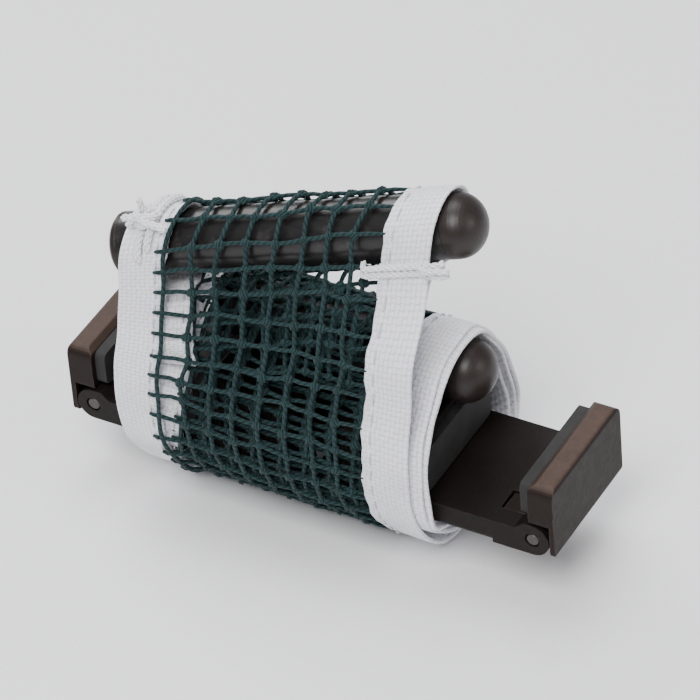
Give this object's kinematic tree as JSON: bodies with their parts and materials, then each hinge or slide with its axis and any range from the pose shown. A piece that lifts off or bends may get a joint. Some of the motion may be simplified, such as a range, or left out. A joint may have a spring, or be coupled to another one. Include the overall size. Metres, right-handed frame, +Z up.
{
  "type": "table tennis net clamp",
  "caption": "Packed table tennis net set: rolled net with taped edges, round posts and sprung edge clamps with post sockets.",
  "frame": {"origin": "on the resting plane, midway along the rolled net, in the centre plane of the inner post", "axes": "+X along the roll towards the net's top edge (the end the right-hand clamp comes out of), +Z up, -Y the front where the free panel leaves the roll"},
  "size_m": [0.0669, 0.0277, 0.0519],
  "materials": {
    "net_twine": "knotted twine",
    "edge_tape": "woven tape",
    "tie_cord": "twisted cord",
    "post_paint": "satin black",
    "post_plastic": "moulded",
    "clamp_plastic": "moulded",
    "pad_rubber": "matt",
    "steel": "bright"
  },
  "bodies": {
    "net_roll": {"net_mesh": "net_twine", "head_tape": "edge_tape", "foot_tape": "edge_tape", "head_cord": "tie_cord", "foot_cord": "tie_cord"},
    "inner_post": {"inner_post_tube": "post_paint", "inner_post_cap": "post_plastic", "inner_post_plug": "post_plastic"},
    "outer_post": {"outer_post_tube": "post_paint", "outer_post_cap": "post_plastic", "outer_post_plug": "post_plastic"},
    "right_clamp": {"right_clamp_body": "clamp_plastic", "right_fixed_pad": "pad_rubber", "right_pivot_pin": "steel", "right_jaw_spring": "steel"},
    "right_jaw": {"right_jaw_lever": "clamp_plastic", "right_jaw_pad": "pad_rubber"},
    "left_clamp": {"left_clamp_body": "clamp_plastic", "left_fixed_pad": "pad_rubber", "left_pivot_pin": "steel", "left_jaw_spring": "steel"},
    "left_jaw": {"left_jaw_lever": "clamp_plastic", "left_jaw_pad": "pad_rubber"}
  },
  "joints": [
    {"name": "inner_post_slide", "type": "slide", "parent": "net_roll", "child": "inner_post", "axis": [1, 0, 0], "range_m": [0, 0.05]},
    {"name": "outer_post_slide", "type": "slide", "parent": "net_roll", "child": "outer_post", "axis": [0.9517, 0.1316, 0.2773], "range_m": [0, 0.05]},
    {"name": "right_clamp_slide", "type": "slide", "parent": "net_roll", "child": "right_clamp", "axis": [1, 0, 0], "range_m": [0, 0.06]},
    {"name": "left_clamp_slide", "type": "slide", "parent": "net_roll", "child": "left_clamp", "axis": [-1, 0, 0], "range_m": [0, 0.06]},
    {"name": "right_jaw_hinge", "type": "hinge", "parent": "right_clamp", "child": "right_jaw", "pos_m": [0.0347, -0.002, 0.0111], "axis": [0, 1, 0], "range_deg": [0, 30], "stiffness_Nm_per_rad": 0.08, "springref_deg": -29.79, "deforming": ["right_jaw_spring"]},
    {"name": "left_jaw_hinge", "type": "hinge", "parent": "left_clamp", "child": "left_jaw", "pos_m": [-0.0262, -0.002, 0.0111], "axis": [0, -1, 0], "range_deg": [0, 30], "stiffness_Nm_per_rad": 0.08, "springref_deg": -29.79, "deforming": ["left_jaw_spring"]}
  ]
}
